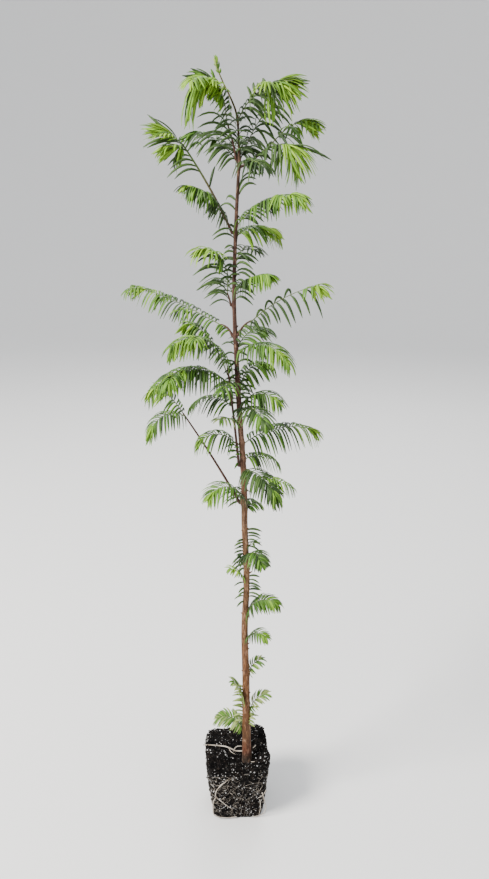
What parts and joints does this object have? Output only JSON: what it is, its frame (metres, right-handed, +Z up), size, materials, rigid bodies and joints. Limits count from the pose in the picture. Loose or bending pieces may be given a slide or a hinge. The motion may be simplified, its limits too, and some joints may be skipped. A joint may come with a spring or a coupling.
{
  "type": "dawn redwood sapling",
  "caption": "A slim young dawn redwood: one tapering trunk, thin boughs and flat feathery sprays of soft needles, standing on its own bare square root plug.",
  "frame": {"origin": "the middle of the root ball's flat underside", "axes": "metres, +Z up the trunk, +X to the right as seen from the front, +Y to the back"},
  "size_m": [0.1671, 0.1019, 0.6694],
  "materials": {
    "bark": "finely furrowed orange-brown bark, darker towards the tip",
    "bough_bark": "smooth thin brown twigs",
    "root_ball": "black fibrous peat with pale grit and fine roots",
    "needles_dark": "soft flat needles, deep green",
    "needles_mid": "soft flat needles, fresh green",
    "needles_light": "soft flat needles, yellow-green new growth"
  },
  "bodies": {
    "root": {"root_ball": "root_ball", "trunk": "bark", "bough_left_crown": "bough_bark", "bough_left_long": "bough_bark", "bough_left_middle": "bough_bark", "bough_left_slanting": "bough_bark", "bough_left_upright": "bough_bark", "bough_right_crown": "bough_bark", "bough_right_long": "bough_bark", "bough_upper_left": "bough_bark", "foliage_back_base": "needles_dark", "foliage_back_low": "needles_dark", "foliage_back_middle": "needles_dark", "foliage_back_top": "needles_dark", "foliage_front_low": "needles_light", "foliage_front_middle": "needles_mid", "foliage_front_top": "needles_dark", "foliage_leader": "needles_light", "foliage_left_arch": "needles_mid", "foliage_left_base": "needles_mid", "foliage_left_curl": "needles_mid", "foliage_left_dark": "needles_dark", "foliage_left_dome": "needles_light", "foliage_left_end": "needles_light", "foliage_left_inner": "needles_mid", "foliage_left_long": "needles_mid", "foliage_left_low": "needles_mid", "foliage_left_low_tuft": "needles_light", "foliage_left_middle": "needles_light", "foliage_left_second": "needles_light", "foliage_left_small": "needles_light", "foliage_left_tuft": "needles_light", "foliage_left_wide": "needles_mid", "foliage_right_back": "needles_mid", "foliage_right_base": "needles_dark", "foliage_right_bright": "needles_light", "foliage_right_flat": "needles_mid", "foliage_right_fork": "needles_dark", "foliage_right_front": "needles_dark", "foliage_right_hanging": "needles_light", "foliage_right_inner": "needles_dark", "foliage_right_long": "needles_mid", "foliage_right_lower": "needles_light", "foliage_right_middle": "needles_mid", "foliage_right_slim": "needles_mid", "foliage_right_small": "needles_mid", "foliage_right_top": "needles_light", "foliage_right_upper": "needles_mid", "foliage_right_wide": "needles_mid", "foliage_stem_1": "needles_dark", "foliage_stem_2": "needles_mid", "foliage_stem_3": "needles_light", "foliage_stem_4": "needles_mid", "foliage_stem_5": "needles_mid", "foliage_stem_6": "needles_mid", "foliage_stem_7": "needles_mid", "foliage_stem_8": "needles_mid", "foliage_stem_9": "needles_light", "foliage_upper_left": "needles_light", "foliage_upper_right": "needles_light"}
  },
  "joints": []
}
